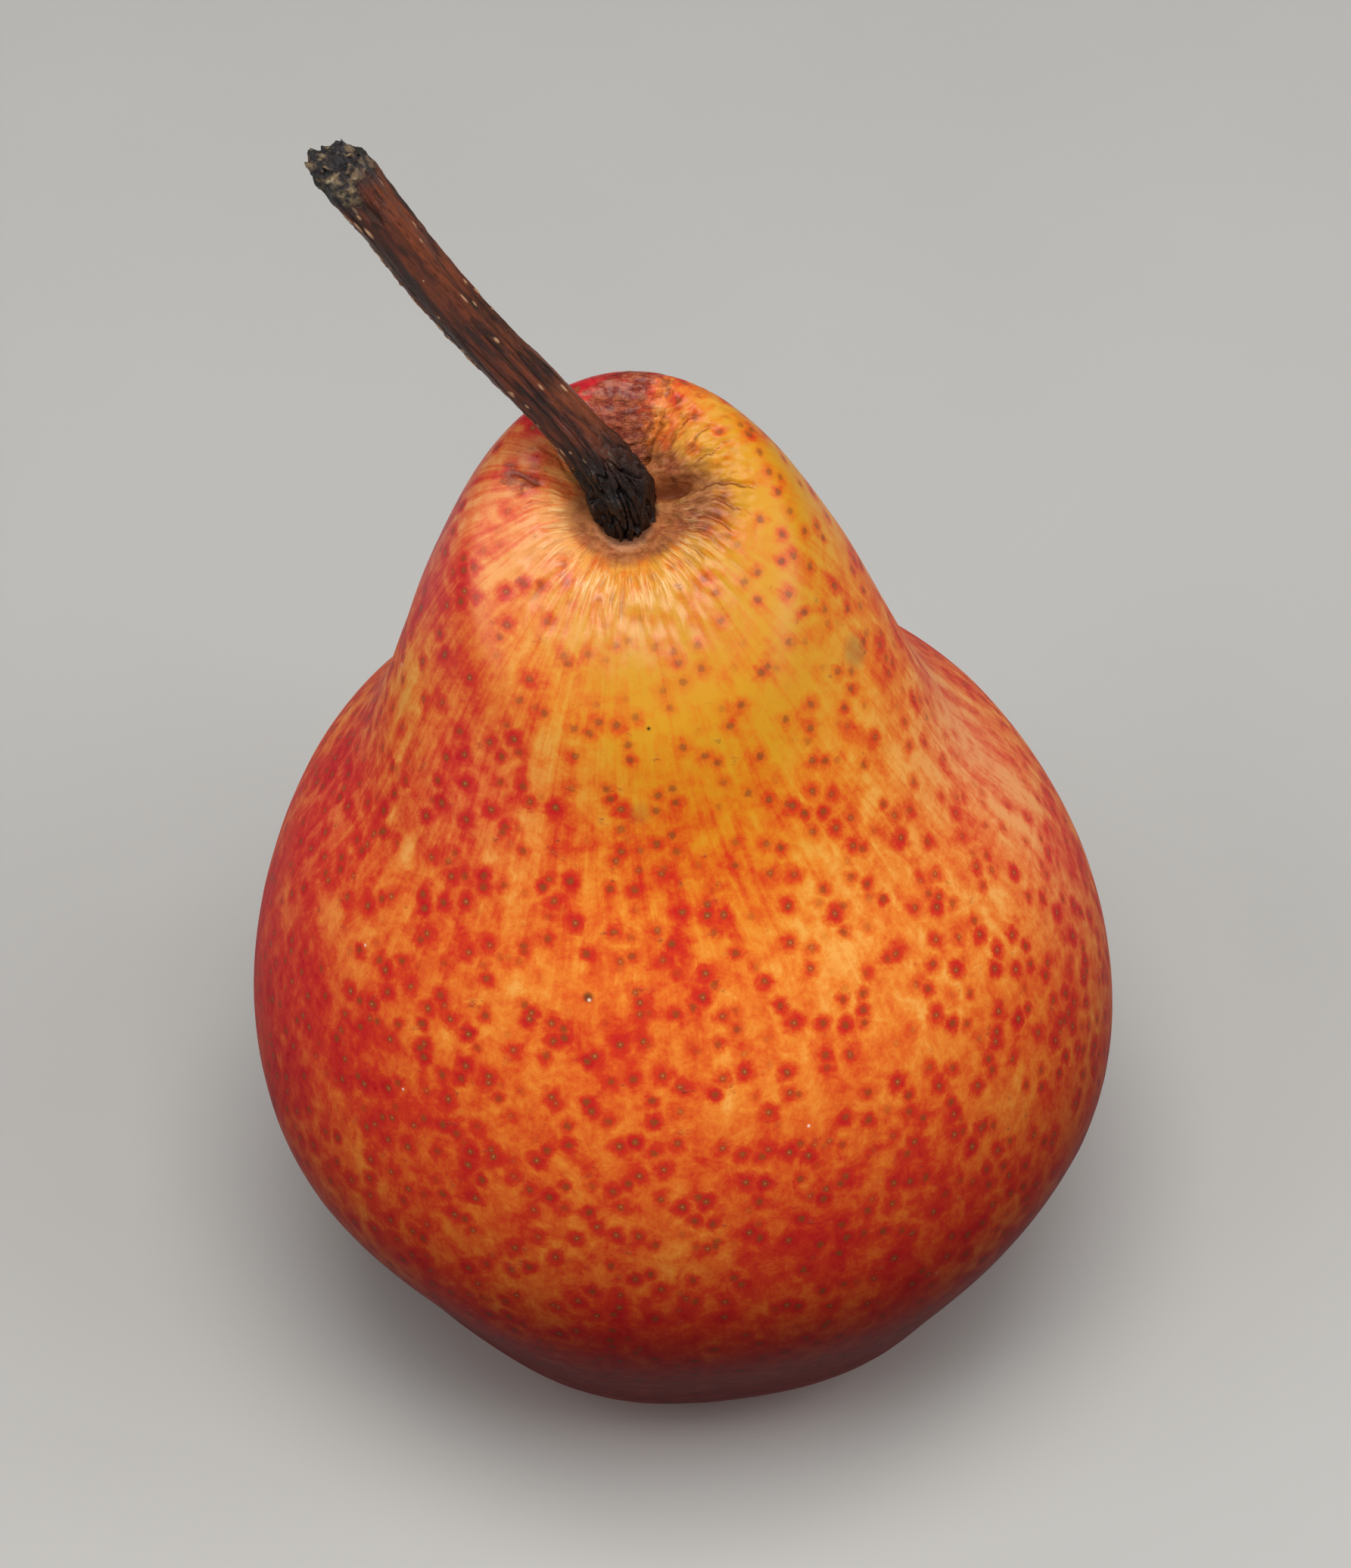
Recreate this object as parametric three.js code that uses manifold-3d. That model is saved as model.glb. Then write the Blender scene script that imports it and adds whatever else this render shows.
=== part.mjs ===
// A blushed dessert pear standing on its base: the fruit, its woody stem and the dried calyx beneath.
// Millimetres, +Z up. The origin lies on the resting surface, under the middle of the fruit.
import * as THREE from 'three';
import { mergeVertices } from 'three/addons/utils/BufferGeometryUtils.js';
import Module from 'manifold-3d';

// ---- Fruit -------------------------------------------------------------------------------------
const BELLY_RADIUS = 34.4;
const CROWN_HEIGHT = 80;
const BASIN_DEPTH = 3.8;
// Half the outline, [distance from the core line, height], from the calyx basin up to the crown.
const OUTLINE = [
  [0, BASIN_DEPTH], [4.5, 3.5], [7.6, 1.2],       // calyx basin
  [10, -0.2], [13, -0.3],                         // foot, pressed flat by the surface
  [19.4, 1.7], [24.8, 6.5], [28.9, 14],           // under side
  [BELLY_RADIUS, 25.6], [34.3, 34.9],             // belly
  [30.1, 46.5], [23.4, 55.7],                     // shoulder and waist
  [20, 62.9], [17.6, 68.4],                       // neck
  [13, 76.2], [9, 78.2], [4, 78.5], [0, 78.4],    // crown
];
const FRUIT_SIDES = 96;
const ROWS_PER_SPAN = 3;
// The core line leans as it climbs: [x, y] at even steps from the foot to the crown.
const CORE_LINE = [[0.4, -1], [0.1, -1], [-0.8, 1.2], [-2.6, 1.8], [-4.4, 1.7]];
const DEPTH_TO_WIDTH = 0.98;                      // front to back, against side to side
const NECK_PINCH = 0.05;                          // how much flatter the neck is than the belly
const CROWN_SLOPE = 0.79;                         // the crown rises towards its back
const CROWN_START = 0.65;                         // share of the height where that slope sets in
// Lobes round the lower belly: [count, share of the radius, direction of one crest in degrees].
const LOBES = [[3, 0.004, -23], [5, 0.005, -17], [7, 0.009, -5]];
const FOOT_LOBES = 5;
const FOOT_CREST = -17;
const FOOT_RISE = 0.35;                           // how far the foot lifts off between its lobes
// The cavity is a dip in the crown round the stem, with folds pressed into its wall:
// [direction, half width in degrees, depth, reach from the stem].
const CAVITY = { x: -4.7, y: 5.5, depth: 2.6, radius: 7.5 };
const FOLDS = [
  [8, 7, 1.0, 9.5], [36, 6, 0.45, 7.5], [64, 7, 0.7, 9], [97, 7, 0.4, 7], [140, 7, 0.35, 7],
  [173, 8, 0.6, 9.5], [-160, 6, 0.3, 7], [-130, 6, 0.3, 7.5], [-95, 6, 0.25, 6.5], [-60, 6, 0.3, 7],
  [-22, 6, 0.4, 8],
];

// ---- Stem --------------------------------------------------------------------------------------
const STEM_PATH = [
  [-4.2, 5.1, 74.8], [-5.1, 5.7, 80.4], [-7.9, 6.3, 85.6], [-11.5, 6.9, 90.5],
  [-15.3, 7.3, 95.5], [-18.8, 7.7, 100.5], [-22, 8, 105.7], [-25.1, 8.5, 110.8],
];
// [radius, length along the path] from the sunk root, past its knob, to the broken end.
const STEM_THICKNESS = [
  [1.9, 0.5], [2.35, 3], [2.6, 6], [2.4, 9.5], [2.05, 13], [1.93, 20],
  [1.9, 28.5], [1.95, 34.5], [2.2, 38], [2.4, 40.3], [2.25, 41.6],
];
const STEM_END = 42;
const STEM_SIDES = 28;
const STEM_ROWS = 40;
// Ridges along the stem: [count, share of the radius, direction in degrees].
const STEM_RIDGES = [[2, 0.05, 20], [5, 0.045, 50], [9, 0.02, 10]];
const STEM_TWIST = 1.6;                           // degrees for each millimetre
const KNOB = { rise: 0.45, at: 6, long: 3, direction: 75, wide: 50 };
const SOCKET_GAP = 0.3;

// ---- Calyx -------------------------------------------------------------------------------------
const CALYX_PLUG = [[0, 6.4], [1.5, 6.2], [1.9, 5.2], [2, 3.4], [1.7, 2.6], [0.9, 2.3], [0, 2.7]];
const CALYX_SIDES = 20;
const SEPALS = 5;
const SEPAL_PATH = [[1.1, 0, 3], [2.4, 0, 2.75], [3.6, 0, 2.3], [4.5, 0, 1.5], [4.8, 0, 0.9]];
const SEPAL_HALF_WIDTH = [[0.9, 0.2], [1.15, 1.3], [0.95, 2.5], [0.5, 3.6]];
const SEPAL_LENGTH = 4.1;
const SEPAL_FLATNESS = 0.32;
const SEPAL_SIDES = 10;
const STAMENS = 9;
const STAMEN = { radius: 0.3, length: 1.9, ring: 1, foot: 2.9, lean: 24, sides: 6 };

const wasm = await Module();
wasm.setup();

const degrees = THREE.MathUtils.degToRad;
const smooth = (low, high, value) => THREE.MathUtils.smoothstep(value, low, high);
// How far one direction lies from another given in degrees, within half a turn either way.
const offset = (turn, direction) => (
  THREE.MathUtils.euclideanModulo(turn - degrees(direction) + Math.PI, 2 * Math.PI) - Math.PI
);
const spline = (points) => new THREE.SplineCurve(points.map(([x, y]) => new THREE.Vector2(x, y)));

// A closed body turned from a profile of [radius, height], its axis on +Z and +X in front of its seam.
function turned(profile, sides) {
  const lathe = new THREE.LatheGeometry(profile, sides);
  lathe.deleteAttribute('normal');
  lathe.deleteAttribute('uv');
  const body = mergeVertices(lathe);
  reshape(body, (p) => p.set(p.z, p.x, p.y));
  return body;
}

// Moves every corner of a body by one rule.
function reshape(body, rule) {
  const corners = body.getAttribute('position');
  const point = new THREE.Vector3();
  for (let i = 0; i < corners.count; i += 1) {
    rule(point.fromBufferAttribute(corners, i));
    corners.setXYZ(i, point.x, point.y, point.z);
  }
  return body;
}

// A merged body as a solid that can be joined and cut; triangles flattened at a pole are left out.
function solid(body) {
  const merged = mergeVertices(body);
  const index = merged.getIndex().array;
  const faces = [];
  for (let i = 0; i < index.length; i += 3) {
    const [a, b, c] = index.subarray(i, i + 3);
    if (a !== b && b !== c && c !== a) faces.push(a, b, c);
  }
  const vertProperties = new Float32Array(merged.getAttribute('position').array);
  return new wasm.Manifold(new wasm.Mesh({ numProp: 3, vertProperties, triVerts: new Uint32Array(faces) }));
}

function mesh(name, body, material) {
  const { vertProperties, triVerts } = body.getMesh();
  const geometry = new THREE.BufferGeometry();
  geometry.setAttribute('position', new THREE.BufferAttribute(new Float32Array(vertProperties), 3));
  geometry.setIndex(new THREE.BufferAttribute(new Uint32Array(triVerts), 1));
  geometry.computeVertexNormals();
  const made = new THREE.Mesh(geometry, material);
  made.name = name;
  return made;
}

// ---- Fruit -------------------------------------------------------------------------------------
const coreLine = spline(CORE_LINE);

// Turns a point of the plain round body into the lobed, leaning, folded fruit.
function shapeFruit(point) {
  const radius = Math.hypot(point.x, point.y);
  const turn = Math.atan2(point.y, point.x);
  const height = Math.max(point.z, 0);
  const climb = height / CROWN_HEIGHT;

  const lobed = smooth(1, 6, height) * (1 - smooth(14, 34, height));
  let swell = 1;
  for (const [count, share, crest] of LOBES) {
    swell += lobed * share * Math.cos(count * (turn - degrees(crest)));
  }
  const pinch = DEPTH_TO_WIDTH - NECK_PINCH * smooth(0.5, 0.75, climb);
  const across = radius * swell * Math.cos(turn);
  const back = radius * swell * Math.sin(turn) * pinch;

  const core = coreLine.getPoint(Math.min(climb, 1));
  point.x = core.x + across;
  point.y = core.y + back;

  const fromStem = Math.hypot(point.x - CAVITY.x, point.y - CAVITY.y);
  const bearing = Math.atan2(point.y - CAVITY.y, point.x - CAVITY.x);
  let dip = CAVITY.depth * (1 - smooth(0.8, CAVITY.radius, fromStem));
  for (const [direction, half, depth, reach] of FOLDS) {
    const along = smooth(0, 2, fromStem) * (1 - smooth(reach * 0.45, reach, fromStem));
    dip += depth * along * Math.exp(-((offset(bearing, direction) / degrees(half)) ** 2));
  }
  const slope = CROWN_SLOPE * smooth(CROWN_START, 1, climb) * back;

  const nearFoot = smooth(7, 10, radius) * (1 - smooth(14, 20, radius)) * (1 - smooth(2, 6, height));
  const between = (1 - Math.cos(FOOT_LOBES * (turn - degrees(FOOT_CREST)))) / 2;
  const foot = Math.max(point.z + FOOT_RISE * nearFoot * between, 0);
  point.z = foot + slope - dip * smooth(0.8, 1, climb);
}

function fruitBody() {
  const profile = spline(OUTLINE).getPoints(ROWS_PER_SPAN * (OUTLINE.length - 1));
  return solid(reshape(turned(profile, FRUIT_SIDES), shapeFruit));
}

// ---- Stem --------------------------------------------------------------------------------------
const stemPath = new THREE.CatmullRomCurve3(
  STEM_PATH.map((at) => new THREE.Vector3(...at)), false, 'catmullrom', 0.5,
);

// Lays a body that stands on +Z along a curve, its height becoming the distance travelled.
function layAlong(body, curve) {
  const length = curve.getLength();
  const backward = new THREE.Vector3(0, 1, 0);
  return reshape(body, (point) => {
    const share = THREE.MathUtils.clamp(point.z / length, 0, 1);
    const forward = curve.getTangentAt(share);
    const past = point.z - share * length;
    const side = new THREE.Vector3().crossVectors(backward, forward).normalize();
    const rear = new THREE.Vector3().crossVectors(forward, side);
    const { x, y } = point;
    curve.getPointAt(share, point);
    point.addScaledVector(forward, past).addScaledVector(side, x).addScaledVector(rear, y);
  });
}

// The ridged stem, or with a margin the space it needs in the flesh.
function stemBody(margin = 0) {
  const side = spline(STEM_THICKNESS).getPoints(STEM_ROWS);
  const profile = [new THREE.Vector2(0, 0), ...side, new THREE.Vector2(0, STEM_END)];
  const body = reshape(turned(profile, STEM_SIDES), (point) => {
    const radius = Math.hypot(point.x, point.y);
    if (radius === 0) {
      point.z += Math.sign(point.z - 1) * margin;
      return;
    }
    const turn = Math.atan2(point.y, point.x);
    let ridged = radius + margin;
    for (const [count, share, crest] of STEM_RIDGES) {
      ridged += radius * share * Math.cos(count * (turn - degrees(crest + STEM_TWIST * point.z)));
    }
    const around = offset(turn, KNOB.direction) / degrees(KNOB.wide);
    const lump = Math.exp(-(around ** 2) - ((point.z - KNOB.at) / KNOB.long) ** 2);
    ridged += KNOB.rise * lump;
    point.set(ridged * Math.cos(turn), ridged * Math.sin(turn), point.z);
  });
  return solid(layAlong(body, stemPath));
}

// ---- Calyx -------------------------------------------------------------------------------------
function calyxPlug(margin = 0) {
  const profile = CALYX_PLUG.map(([radius, height]) => new THREE.Vector2(
    radius === 0 ? 0 : radius + margin, height > 4 ? height + margin : height,
  )).reverse();
  return solid(turned(profile, CALYX_SIDES));
}

// A withered sepal: a flattened spindle curling outward and down from the plug.
function sepal(turn) {
  const side = spline(SEPAL_HALF_WIDTH).getPoints(6);
  const profile = [new THREE.Vector2(0, 0), ...side, new THREE.Vector2(0, SEPAL_LENGTH)];
  const flat = reshape(turned(profile, SEPAL_SIDES), (point) => {
    point.x *= SEPAL_FLATNESS;
  });
  const path = new THREE.CatmullRomCurve3(SEPAL_PATH.map((at) => new THREE.Vector3(...at)));
  return solid(layAlong(flat, path).rotateZ(turn));
}

function stamen(turn) {
  const cone = new THREE.ConeGeometry(STAMEN.radius, STAMEN.length, STAMEN.sides);
  cone.deleteAttribute('normal');
  cone.deleteAttribute('uv');
  cone.translate(0, STAMEN.length / 2, 0);
  cone.rotateX(-Math.PI / 2);
  cone.rotateY(degrees(STAMEN.lean));
  cone.translate(STAMEN.ring, 0, STAMEN.foot);
  return solid(cone.rotateZ(turn));
}

function calyxBody() {
  let body = calyxPlug();
  for (let i = 0; i < SEPALS; i += 1) {
    body = body.add(sepal((2 * Math.PI * i) / SEPALS));
  }
  for (let i = 0; i < STAMENS; i += 1) {
    body = body.add(stamen((2 * Math.PI * (i + 0.4)) / STAMENS));
  }
  return body.translate([...CORE_LINE[0], 0]);
}

// ---- Pear --------------------------------------------------------------------------------------
const skin = new THREE.MeshStandardMaterial({ color: 0xd8642c, roughness: 0.42, metalness: 0 });
const bark = new THREE.MeshStandardMaterial({ color: 0x4a2416, roughness: 0.7, metalness: 0 });
const dried = new THREE.MeshStandardMaterial({ color: 0x3b2a1e, roughness: 0.9, metalness: 0 });

const fruit = fruitBody()
  .subtract(stemBody(SOCKET_GAP))
  .subtract(calyxPlug(SOCKET_GAP).translate([...CORE_LINE[0], 0]));

const pear = new THREE.Group();
pear.name = 'pear';
pear.add(mesh('fruit', fruit, skin));
pear.add(mesh('stem', stemBody(), bark));
pear.add(mesh('calyx', calyxBody(), dried));

export default pear;
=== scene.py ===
"""A blushed dessert pear on a pale table: its skin, woody stem and dried calyx, round the solids."""
import math
import random

import bpy
from mathutils import Euler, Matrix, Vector, noise


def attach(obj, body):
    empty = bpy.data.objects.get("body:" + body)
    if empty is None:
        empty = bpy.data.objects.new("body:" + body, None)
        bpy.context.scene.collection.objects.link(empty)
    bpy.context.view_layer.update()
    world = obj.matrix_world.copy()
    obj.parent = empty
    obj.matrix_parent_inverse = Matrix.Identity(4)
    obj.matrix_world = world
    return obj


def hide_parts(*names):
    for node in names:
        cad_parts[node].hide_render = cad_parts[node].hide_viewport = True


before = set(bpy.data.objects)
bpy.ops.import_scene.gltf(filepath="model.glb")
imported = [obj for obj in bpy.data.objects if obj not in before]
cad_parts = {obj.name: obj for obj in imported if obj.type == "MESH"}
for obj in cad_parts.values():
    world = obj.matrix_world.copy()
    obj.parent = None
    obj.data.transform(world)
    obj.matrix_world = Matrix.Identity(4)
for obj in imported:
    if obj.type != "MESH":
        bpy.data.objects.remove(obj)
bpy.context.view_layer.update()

# Sizes are in millimetres and angles in degrees. The frame is in metres.
MM = 0.001
UP = Vector((0, 0, 1))

# ---- Fruit: the same driving sizes as the solid ---------------------------------------------------
CROWN_HEIGHT = 80
# Half the outline, from the calyx basin over the belly to the crown: (radius, height).
OUTLINE = [
    (0, 3.8), (4.5, 3.5), (7.6, 1.2),
    (10, -0.2), (13, -0.3),
    (19.4, 1.7), (24.8, 6.5), (28.9, 14),
    (34.4, 25.6), (34.3, 34.9),
    (30.1, 46.5), (23.4, 55.7),
    (20, 62.9), (17.6, 68.4),
    (13, 76.2), (9, 78.2), (4, 78.5), (0, 78.4),
]
# Where the fruit's middle lies, at even heights from the base to the crown's height: (x, y).
CORE_LINE = [(0.4, -1), (0.1, -1), (-0.8, 1.2), (-2.6, 1.8), (-4.4, 1.7)]
DEPTH_TO_WIDTH = 0.98
NECK_PINCH = 0.05
CROWN_SLOPE = 0.79
CROWN_START = 0.65
# Lobes round the base: (how many, share of the radius, direction of a crest).
LOBES = [(3, 0.004, -23), (5, 0.005, -17), (7, 0.009, -5)]
FOOT_LOBES = 5
FOOT_CREST = -17
FOOT_RISE = 0.35
CAVITY = Vector((-4.7, 5.5, 0))
CAVITY_DEPTH = 2.6
CAVITY_RADIUS = 7.5
# Folds in the cavity's side: (direction from the stem, half width in degrees, depth, reach).
FOLDS = [
    (8, 7, 1.0, 9.5), (36, 6, 0.45, 7.5), (64, 7, 0.7, 9), (97, 7, 0.4, 7), (140, 7, 0.35, 7),
    (173, 8, 0.6, 9.5), (-160, 6, 0.3, 7), (-130, 6, 0.3, 7.5), (-95, 6, 0.25, 6.5), (-60, 6, 0.3, 7),
    (-22, 6, 0.4, 8),
]
# The turned skin: faces round it, and how long one is along the outline.
FRUIT_SIDES = 384
BELLY_STEP = 0.8
NECK_STEP = 0.55
NECK_START = 46                 # the height from which the neck's shorter faces start
CROWN_STEP = 0.18
CROWN_SPAN = 14                 # the outline's point where the crown starts
CROWN_RADIUS = OUTLINE[CROWN_SPAN][0]
CROWN_ABOVE = 70                # the crown lies above this height
SOCKET_RADIUS = 1.65
SOCKET_DEPTH = 3.6

# ---- Stem -----------------------------------------------------------------------------------------
# The stem's middle line, from its sunk root to its broken end.
STEM_PATH = [
    (-4.2, 5.1, 74.8), (-5.1, 5.7, 80.4), (-7.9, 6.3, 85.6), (-11.5, 6.9, 90.5),
    (-15.3, 7.3, 95.5), (-18.8, 7.7, 100.5), (-22, 8.1, 105.7), (-26.3, 10.2, 111.1),
]
# Half the thickness, and the distance along the stem.
STEM_THICKNESS = [
    (1.9, 0.5), (2.2, 3), (2.35, 6), (2.15, 9.5), (1.9, 13), (1.88, 20),
    (1.9, 28.5), (1.92, 34.5), (2.02, 37.8), (2.12, 39.8), (1.85, 42.1),
]
STEM_END = 42.1
STEM_SIDES = 160
STEM_STEP = 0.11
# Ridges along the stem: (how many, share of the radius, direction of a crest).
STEM_RIDGES = [(2, 0.05, 20), (5, 0.045, 50), (9, 0.02, 10)]
STEM_TWIST = 1.6
KNOB = {"rise": 0.45, "at": 6, "long": 3, "direction": 75, "wide": 50}
ROOT_END = 10                   # the root's black knobbly stretch ends about here
CRUST_START = 39.7              # and the dry crust at the broken end starts here

# ---- Calyx ----------------------------------------------------------------------------------------
SEPALS = 5
STAMENS = 9


def smooth(low, high, value):
    """0 below low and 1 above high, with a soft step between. High may be the lower one."""
    share = min(max((value - low) / (high - low), 0), 1)
    return share * share * (3 - 2 * share)


def curve_at(points, place):
    """A place on the smooth curve through points: 0 is the first point, 1 the second, and so on."""
    last = len(points) - 1
    start = min(int(place), last - 1)
    share = place - start
    before, here, there, after = (points[min(max(i, 0), last)] for i in range(start - 1, start + 3))
    found = []
    for p, a, b, n in zip(before, here, there, after):
        leave, arrive = (b - p) / 2, (n - a) / 2
        cubic = 2 * a - 2 * b + leave + arrive
        square = 3 * b - 3 * a - 2 * leave - arrive
        found.append(((cubic * share + square) * share + leave) * share + a)
    return found


def angle_between(turn, direction):
    """How far a turn in radians lies from a direction in degrees, within half a turn either way."""
    return (turn - math.radians(direction) + math.pi) % (2 * math.pi) - math.pi


# ---- Modelling ------------------------------------------------------------------------------------
def start_piece(name):
    """A new piece with one corner on the origin, left in edit mode."""
    bpy.ops.object.select_all(action="DESELECT")
    bpy.ops.mesh.primitive_plane_add(size=MM)
    piece = bpy.context.object
    piece.name = piece.data.name = name
    bpy.ops.object.mode_set(mode="EDIT")
    bpy.ops.mesh.merge(type="CENTER")
    return piece


def turn_piece(name, profile, sides):
    """A closed body turned round +Z from a profile of (radius, height) that starts and ends on the axis."""
    piece = start_piece(name)
    place = Vector((profile[0][0], 0, profile[0][1])) * MM
    bpy.ops.transform.translate(value=place)
    for radius, height in profile[1:]:
        step = Vector((radius, 0, height)) * MM - place
        bpy.ops.mesh.extrude_region_move(TRANSFORM_OT_translate={"value": step})
        place += step
    bpy.ops.object.mode_set(mode="OBJECT")
    finish_with(piece, "SCREW", steps=sides, render_steps=sides, angle=2 * math.pi, use_merge_vertices=True,
                merge_threshold=MM / 2000)
    bpy.ops.object.mode_set(mode="EDIT")
    bpy.ops.mesh.select_all(action="SELECT")
    bpy.ops.mesh.remove_doubles(threshold=MM / 2000)
    bpy.ops.mesh.normals_make_consistent(inside=False)
    bpy.ops.object.mode_set(mode="OBJECT")
    bpy.ops.object.shade_smooth()
    return piece


def finish_with(piece, kind, **settings):
    """Adds a modifier to a piece and applies it."""
    bpy.context.view_layer.objects.active = piece
    modifier = piece.modifiers.new(kind.lower(), kind)
    for name, value in settings.items():
        setattr(modifier, name, value)
    bpy.ops.object.modifier_apply(modifier=modifier.name)


def reshape(piece, rule):
    """Moves every corner of a piece to where the rule says, in millimetres."""
    for corner in piece.data.vertices:
        corner.co = rule(corner.co / MM) * MM
    piece.data.update()


def emboss(piece, relief):
    """Raises every corner of a piece along its normal by what the rule says, in millimetres."""
    heights = [relief(corner.co / MM) for corner in piece.data.vertices]
    normals = [corner.normal.copy() for corner in piece.data.vertices]
    for corner, normal, height in zip(piece.data.vertices, normals, heights):
        corner.co += normal * height * MM
    piece.data.update()


def paint(piece, name, values):
    """Stores one number or vector for each corner, for the materials to read."""
    vectors = hasattr(values[0], "__len__")
    layer = piece.data.attributes.new(name, "FLOAT_VECTOR" if vectors else "FLOAT", "POINT")
    flat = [number for value in values for number in value] if vectors else values
    layer.data.foreach_set("vector" if vectors else "value", flat)


# ---- Fruit ----------------------------------------------------------------------------------------
def outline_rows():
    """The half outline in rows, closest together on the crown where the skin is wrinkled."""
    rows = []
    for span in range(len(OUTLINE) - 1):
        length = math.dist(OUTLINE[span], OUTLINE[span + 1])
        step = BELLY_STEP
        if OUTLINE[span][1] > NECK_START:
            step = CROWN_STEP if span >= CROWN_SPAN else NECK_STEP
        steps = round(length / step)
        rows += [curve_at(OUTLINE, span + i / steps) for i in range(steps)]
    return rows + [OUTLINE[-1]]


def crown_rows(fineness=20):
    """The crown's part of the outline in fine rows, from its edge to its middle."""
    spans = len(OUTLINE) - 1 - CROWN_SPAN
    return [curve_at(OUTLINE, CROWN_SPAN + i / fineness) for i in range(spans * fineness + 1)]


CROWN_ROWS = crown_rows()


def crown_height(radius):
    """Height of the plain crown at a distance from its middle."""
    for (outer, low), (inner, high) in zip(CROWN_ROWS, CROWN_ROWS[1:]):
        if radius >= inner:
            return low + (high - low) * (outer - radius) / (outer - inner)
    return CROWN_ROWS[-1][1]


def shape_fruit(point):
    """Turns a point of the plain round body into the lobed, leaning, folded fruit."""
    radius = math.hypot(point.x, point.y)
    turn = math.atan2(point.y, point.x)
    level = point.z
    height = max(level, 0)
    core = Vector((*curve_at(CORE_LINE, min(height / CROWN_HEIGHT, 1) * (len(CORE_LINE) - 1)), 0))
    pinch = DEPTH_TO_WIDTH - NECK_PINCH * smooth(0.5, 0.75, height / CROWN_HEIGHT)
    if height > CROWN_ABOVE and radius < CROWN_RADIUS:     # the crown's rows close in on the stem
        drawn = (CAVITY - core) * (1 - smooth(0, CROWN_RADIUS, radius))
        across, back = radius * math.cos(turn) + drawn.x, radius * math.sin(turn) + drawn.y / pinch
        radius, turn = math.hypot(across, back), math.atan2(back, across)
        level = height = crown_height(radius)

    climb = height / CROWN_HEIGHT
    lobed = smooth(1, 6, height) * (1 - smooth(14, 34, height))
    swell = 1 + sum(lobed * share * math.cos(n * angle_between(turn, crest)) for n, share, crest in LOBES)
    across = radius * swell * math.cos(turn)
    back = radius * swell * math.sin(turn) * pinch
    x, y = core.x + across, core.y + back

    near_foot = smooth(7, 10, radius) * (1 - smooth(14, 20, radius)) * (1 - smooth(2, 6, height))
    between = (1 - math.cos(FOOT_LOBES * angle_between(turn, FOOT_CREST))) / 2
    foot = max(level + FOOT_RISE * near_foot * between, 0)
    slope = CROWN_SLOPE * smooth(CROWN_START, 1, climb) * back
    shaped = Vector((x, y, foot + slope))
    return shaped - UP * cavity_dip(shaped) * smooth(0.8, 1, climb) if climb > 0.8 else shaped


def cavity_dip(point):
    """How deep the crown dips round the stem, with its folds."""
    from_stem, bearing = round_stem(point)
    dip = CAVITY_DEPTH * (1 - smooth(0.8, CAVITY_RADIUS, from_stem))
    for direction, half, depth, reach in FOLDS:
        along = smooth(1.5, 4.5, from_stem) * (1 - smooth(reach * 0.45, reach, from_stem))
        dip += depth * along * math.exp(-((angle_between(bearing, direction) / math.radians(half)) ** 2))
    return dip


def round_stem(point):
    """A point's distance from the stem's middle, and its bearing from there."""
    away = point - CAVITY
    return math.hypot(away.x, away.y), math.atan2(away.y, away.x)


def ring_noise(bearing, distance, count, stretch, seed):
    """Noise with about count ridges round the stem, each stretched along its radius."""
    spread = count / (2 * math.pi)
    place = Vector((spread * math.cos(bearing), spread * math.sin(bearing), distance * stretch + seed))
    return noise.noise(place)


# Creases in the skin: (bearing and distance from the stem at each end, half width, depth).
CREASES = [
    ((28, 0.6), (4, 6.4), 0.55, 0.26),      # the deep fold right of the root
    ((5, 4.6), (0, 11), 0.16, 0.2),         # and the fine ones that fan out below it
    ((-5, 4.4), (-9, 10.5), 0.14, 0.16),
    ((-13, 4.4), (-19, 9.8), 0.13, 0.14),
    ((-22, 4.6), (-29, 9.5), 0.12, 0.12),
    ((-33, 4.4), (-38, 8.5), 0.12, 0.1),
    ((18, 5.2), (22, 9), 0.14, 0.16),
    ((30, 4.8), (33, 8.6), 0.14, 0.16),
    ((44, 4.2), (42, 8), 0.14, 0.16),
    ((62, 2.4), (58, 6), 0.24, 0.16),       # along the russet patch
    ((176, 5.8), (172, 9.6), 0.3, 0.12),    # the short dark fold on the left
    ((-172, 5), (-170, 8), 0.13, 0.1),
    ((160, 4.4), (158, 7.5), 0.13, 0.1),
]


def crease_at(distance, bearing):
    """How deep a place lies in the creases, and how high on the lips beside them."""
    depth = lip = 0
    for (start, near_end), (end, far_end), half, deep in CREASES:
        share = (distance - near_end) / (far_end - near_end)
        if 0 < share < 1:
            wander = 0.4 * noise.noise(Vector((distance * 0.8, start, 0)))
            wander += 0.12 * noise.noise(Vector((distance * 3, start, 5)))
            gap = distance * angle_between(bearing, start + (end - start) * share) + wander
            fade = smooth(0, 0.2, share) * (1 - smooth(0.55, 1, share))
            depth = max(depth, deep * fade * math.exp(-((gap / half) ** 2)))
            lip = max(lip, deep * fade * math.exp(-(((abs(gap) - 2 * half) / half) ** 2)))
    return depth, lip


def gathers(distance, bearing):
    """How strongly the skin is gathered round the stem, from 0 to 1. It reaches farthest in front."""
    reach = 9 + 5 * smooth(-0.2, 0.6, math.cos(angle_between(bearing, -95)))
    return smooth(2.6, 5, distance) * (1 - smooth(reach * 0.4, reach, distance))


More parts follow.
